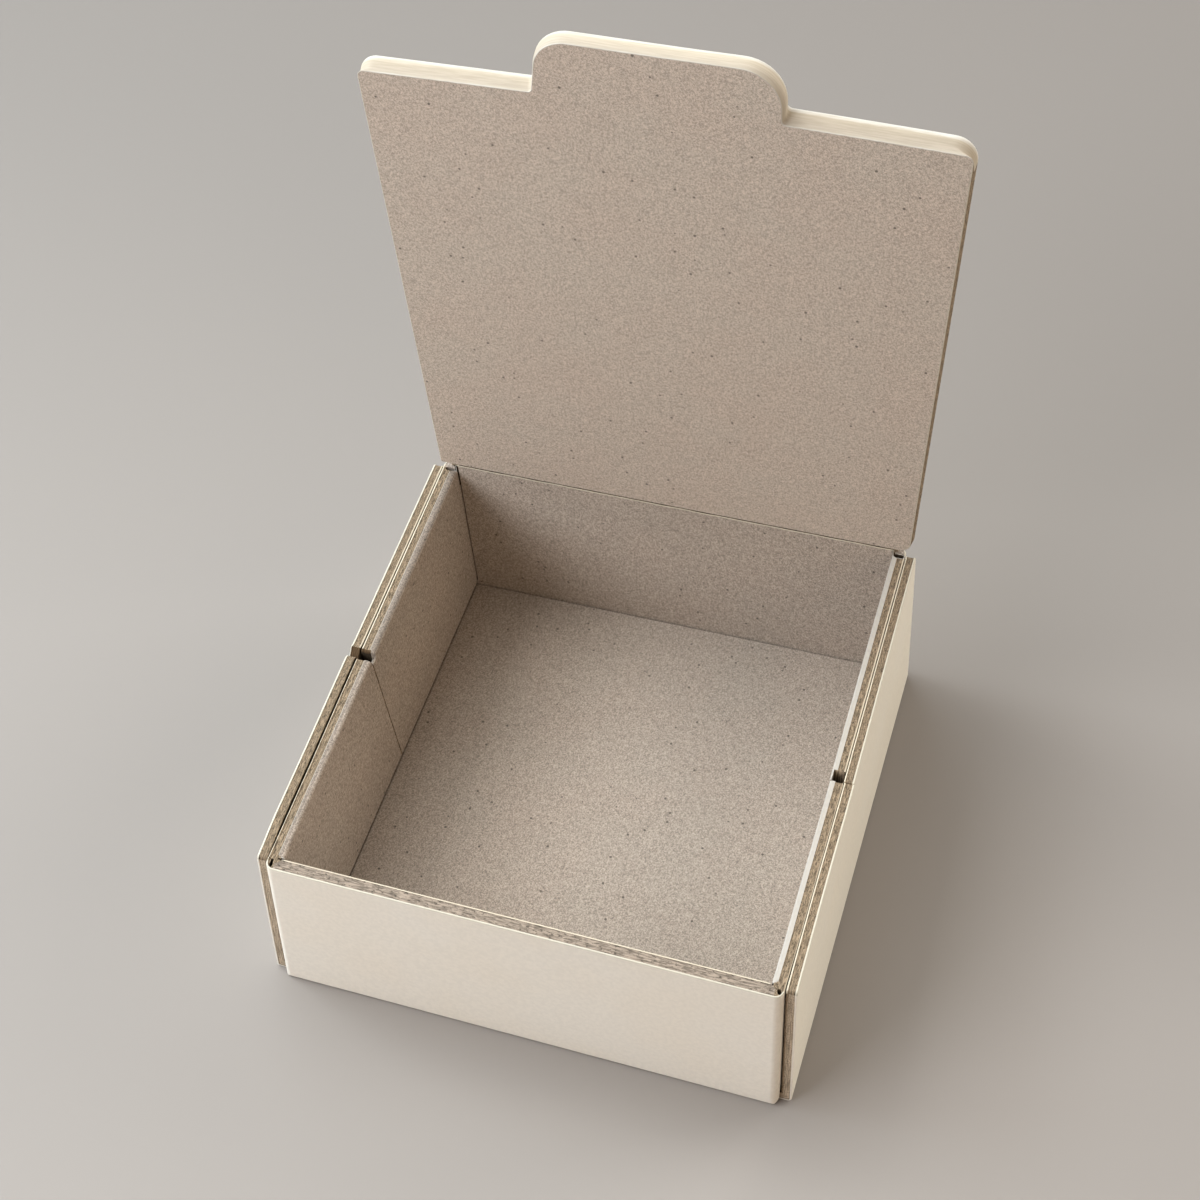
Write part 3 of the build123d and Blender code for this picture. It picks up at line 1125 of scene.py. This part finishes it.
# Near-black raw core: painted shadow, put in the pockets, notch, hole, seam gaps and the faces hidden
# in the slits between plies.
shadow_core = raw_core("shadow_core", (0.05, 0.035, 0.021), (3.0, 0.13, 1), contrast=0.6)
# Dark brown raw core: painted shade in the nick of the left wall and at the rounded end of the left
# notch.
nick_shade_core = raw_core("nick_shade_core", (0.085, 0.05, 0.024), (0.8, 0.2, 1), contrast=0.8)
end_core = raw_core("end_core", (0.44, 0.345, 0.248), (4.0, 0.2, 1), contrast=1.2)
cut_liner = cream_liner("cut_liner", (0.58, 0.53, 0.43))
ply_line = cream_liner("ply_line", (0.58, 0.5, 0.38))
# A darker copy of the inner skin for the left tabs' light line: a real skin edge, painted in shade.
rim_shaded_line = cream_liner("rim_shaded_line", (0.385, 0.34, 0.282))
inner_skin = cream_liner("inner_skin", (0.45, 0.41, 0.36))
free_edge = turned_edge("free_edge", (
    (0.0, (0.54, 0.49, 0.43)),
    (0.06, (0.42, 0.36, 0.285)),
    (0.28, (0.475, 0.4, 0.31)),
    (0.55, (0.53, 0.45, 0.34)),
    (0.68, (0.6, 0.555, 0.49)),
    (1.0, (0.64, 0.6, 0.54)),
))

TRAY_MATERIALS = [
    liner, tray_grey, cut_liner, side_core, inner_skin, front_core, ply_line, shadow_core, nick_shade_core,
    end_core, shaded_right_liner, rim_shaded_line, rim_shade_grey,
]
tray_sheets = Sheets()
for end in (-1, 1):
    end_band(tray_sheets, end)
for side in (-1, 1):
    side_wall(tray_sheets, side)
base(tray_sheets)
tray = tray_sheets.make("tray_folded", TRAY_MATERIALS)
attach(tray, "tray")
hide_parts("tray")

lid = make_lid([lit_lid_grey, liner, side_core, cut_liner, free_edge])
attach(lid, "lid")
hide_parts("lid")

strip = make_crease_strip(liner)
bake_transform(strip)

# The floor, the lights and the camera, in metres
FLOOR_HALF = 2.0
# How far the floor's painted light runs either side of the middle, and its tone at the front and at the
# back as shares: painted light and shade.
FLOOR_LIGHT_SPAN = 0.2
FLOOR_LIGHT_SHARES = (1.17, 0.85)
FLOOR_CORNERS = ((-1, -1), (1, -1), (1, 1), (-1, 1))
floor_mesh = bpy.data.meshes.new("floor")
floor_mesh.from_pydata(
    [(x * FLOOR_HALF, y * FLOOR_HALF, 0) for x, y in FLOOR_CORNERS], [], [(0, 1, 2, 3)]
)
floor_mesh.materials.append(floor_paper("floor_paper", (0.277, 0.247, 0.222)))
floor = add_object("floor", floor_mesh)

WORLD_STRENGTH = 0.08
world = bpy.data.worlds.new("studio")
world.use_nodes = True
backdrop = world.node_tree.nodes["Background"].inputs
backdrop["Color"].default_value = WHITE
backdrop["Strength"].default_value = WORLD_STRENGTH
bpy.context.scene.world = world

# Soft square lights round the box, cool from the left and warm from the right: name, azimuth and
# elevation in degrees, distance and size in metres, power in watts and colour
LIGHT_AIM = Vector((0, 0, 0.05))
LIGHTS = (
    ("left", 270, 50, 1.2, 0.7, 10.4, (0.945, 0.981, 1)),
    ("left_near", 270, 30, 0.6, 0.35, 1.5, (0.64, 0.857, 1)),
    ("front_left", 315, 25, 1.2, 0.7, 2.5, (0.998, 0.985, 1)),
    ("front_left_near", 315, 30, 0.6, 0.35, 2.2, (0.856, 0.914, 1)),
    ("back_left", 225, 50, 1.2, 0.7, 3.2, (0.805, 0.91, 1)),
    ("back_left_near", 225, 70, 0.6, 0.35, 1.9, (0.936, 0.983, 1)),
    ("back_right", 135, 25, 1.2, 0.7, 9.5, (0.996, 1, 0.983)),
    ("right", 90, 25, 1.2, 0.7, 2.8, (1, 0.914, 0.765)),
    ("front_right", 45, 25, 1.2, 0.7, 2.4, (1, 0.797, 0.617)),
)


def outward(azimuth, elevation):
    """The direction from the box to what stands at an azimuth and elevation, 0 being the front."""
    level = math.cos(elevation)
    return Vector((math.sin(azimuth) * level, -math.cos(azimuth) * level, math.sin(elevation)))


for name, azimuth, elevation, distance, size, power, colour in LIGHTS:
    data = bpy.data.lights.new(name, "AREA")
    data.shape = "RECTANGLE"
    data.size = data.size_y = size
    data.energy = power
    data.color = colour
    lamp = add_object(name, data)
    lamp.location = LIGHT_AIM + outward(math.radians(azimuth), math.radians(elevation)) * distance
    lamp.rotation_euler = (LIGHT_AIM - lamp.location).to_track_quat("-Z", "Y").to_euler()

CAMERA_SPOT = (0.067276, -0.196418, 0.297946)
CAMERA_AZIMUTH = math.radians(18.755)
CAMERA_ELEVATION = math.radians(48.994)
CAMERA_ROLL = math.radians(-2.722)
CAMERA_LENS = 59.519
SENSOR_WIDTH = 36.0
CLIP_START = 0.01
back = outward(CAMERA_AZIMUTH, CAMERA_ELEVATION)
right = Vector((math.cos(CAMERA_AZIMUTH), math.sin(CAMERA_AZIMUTH), 0))
up = back.cross(right)
right_rolled = right * math.cos(CAMERA_ROLL) + up * math.sin(CAMERA_ROLL)
up_rolled = up * math.cos(CAMERA_ROLL) - right * math.sin(CAMERA_ROLL)
facing = Matrix((right_rolled, up_rolled, back)).transposed().to_4x4()
camera_data = bpy.data.cameras.new("camera")
camera_data.lens = CAMERA_LENS
camera_data.sensor_width = SENSOR_WIDTH
camera_data.clip_start = CLIP_START
camera = add_object("camera", camera_data)
camera.matrix_world = Matrix.Translation(CAMERA_SPOT) @ facing
bpy.context.scene.camera = camera
bpy.context.scene.view_settings.view_transform = "Standard"
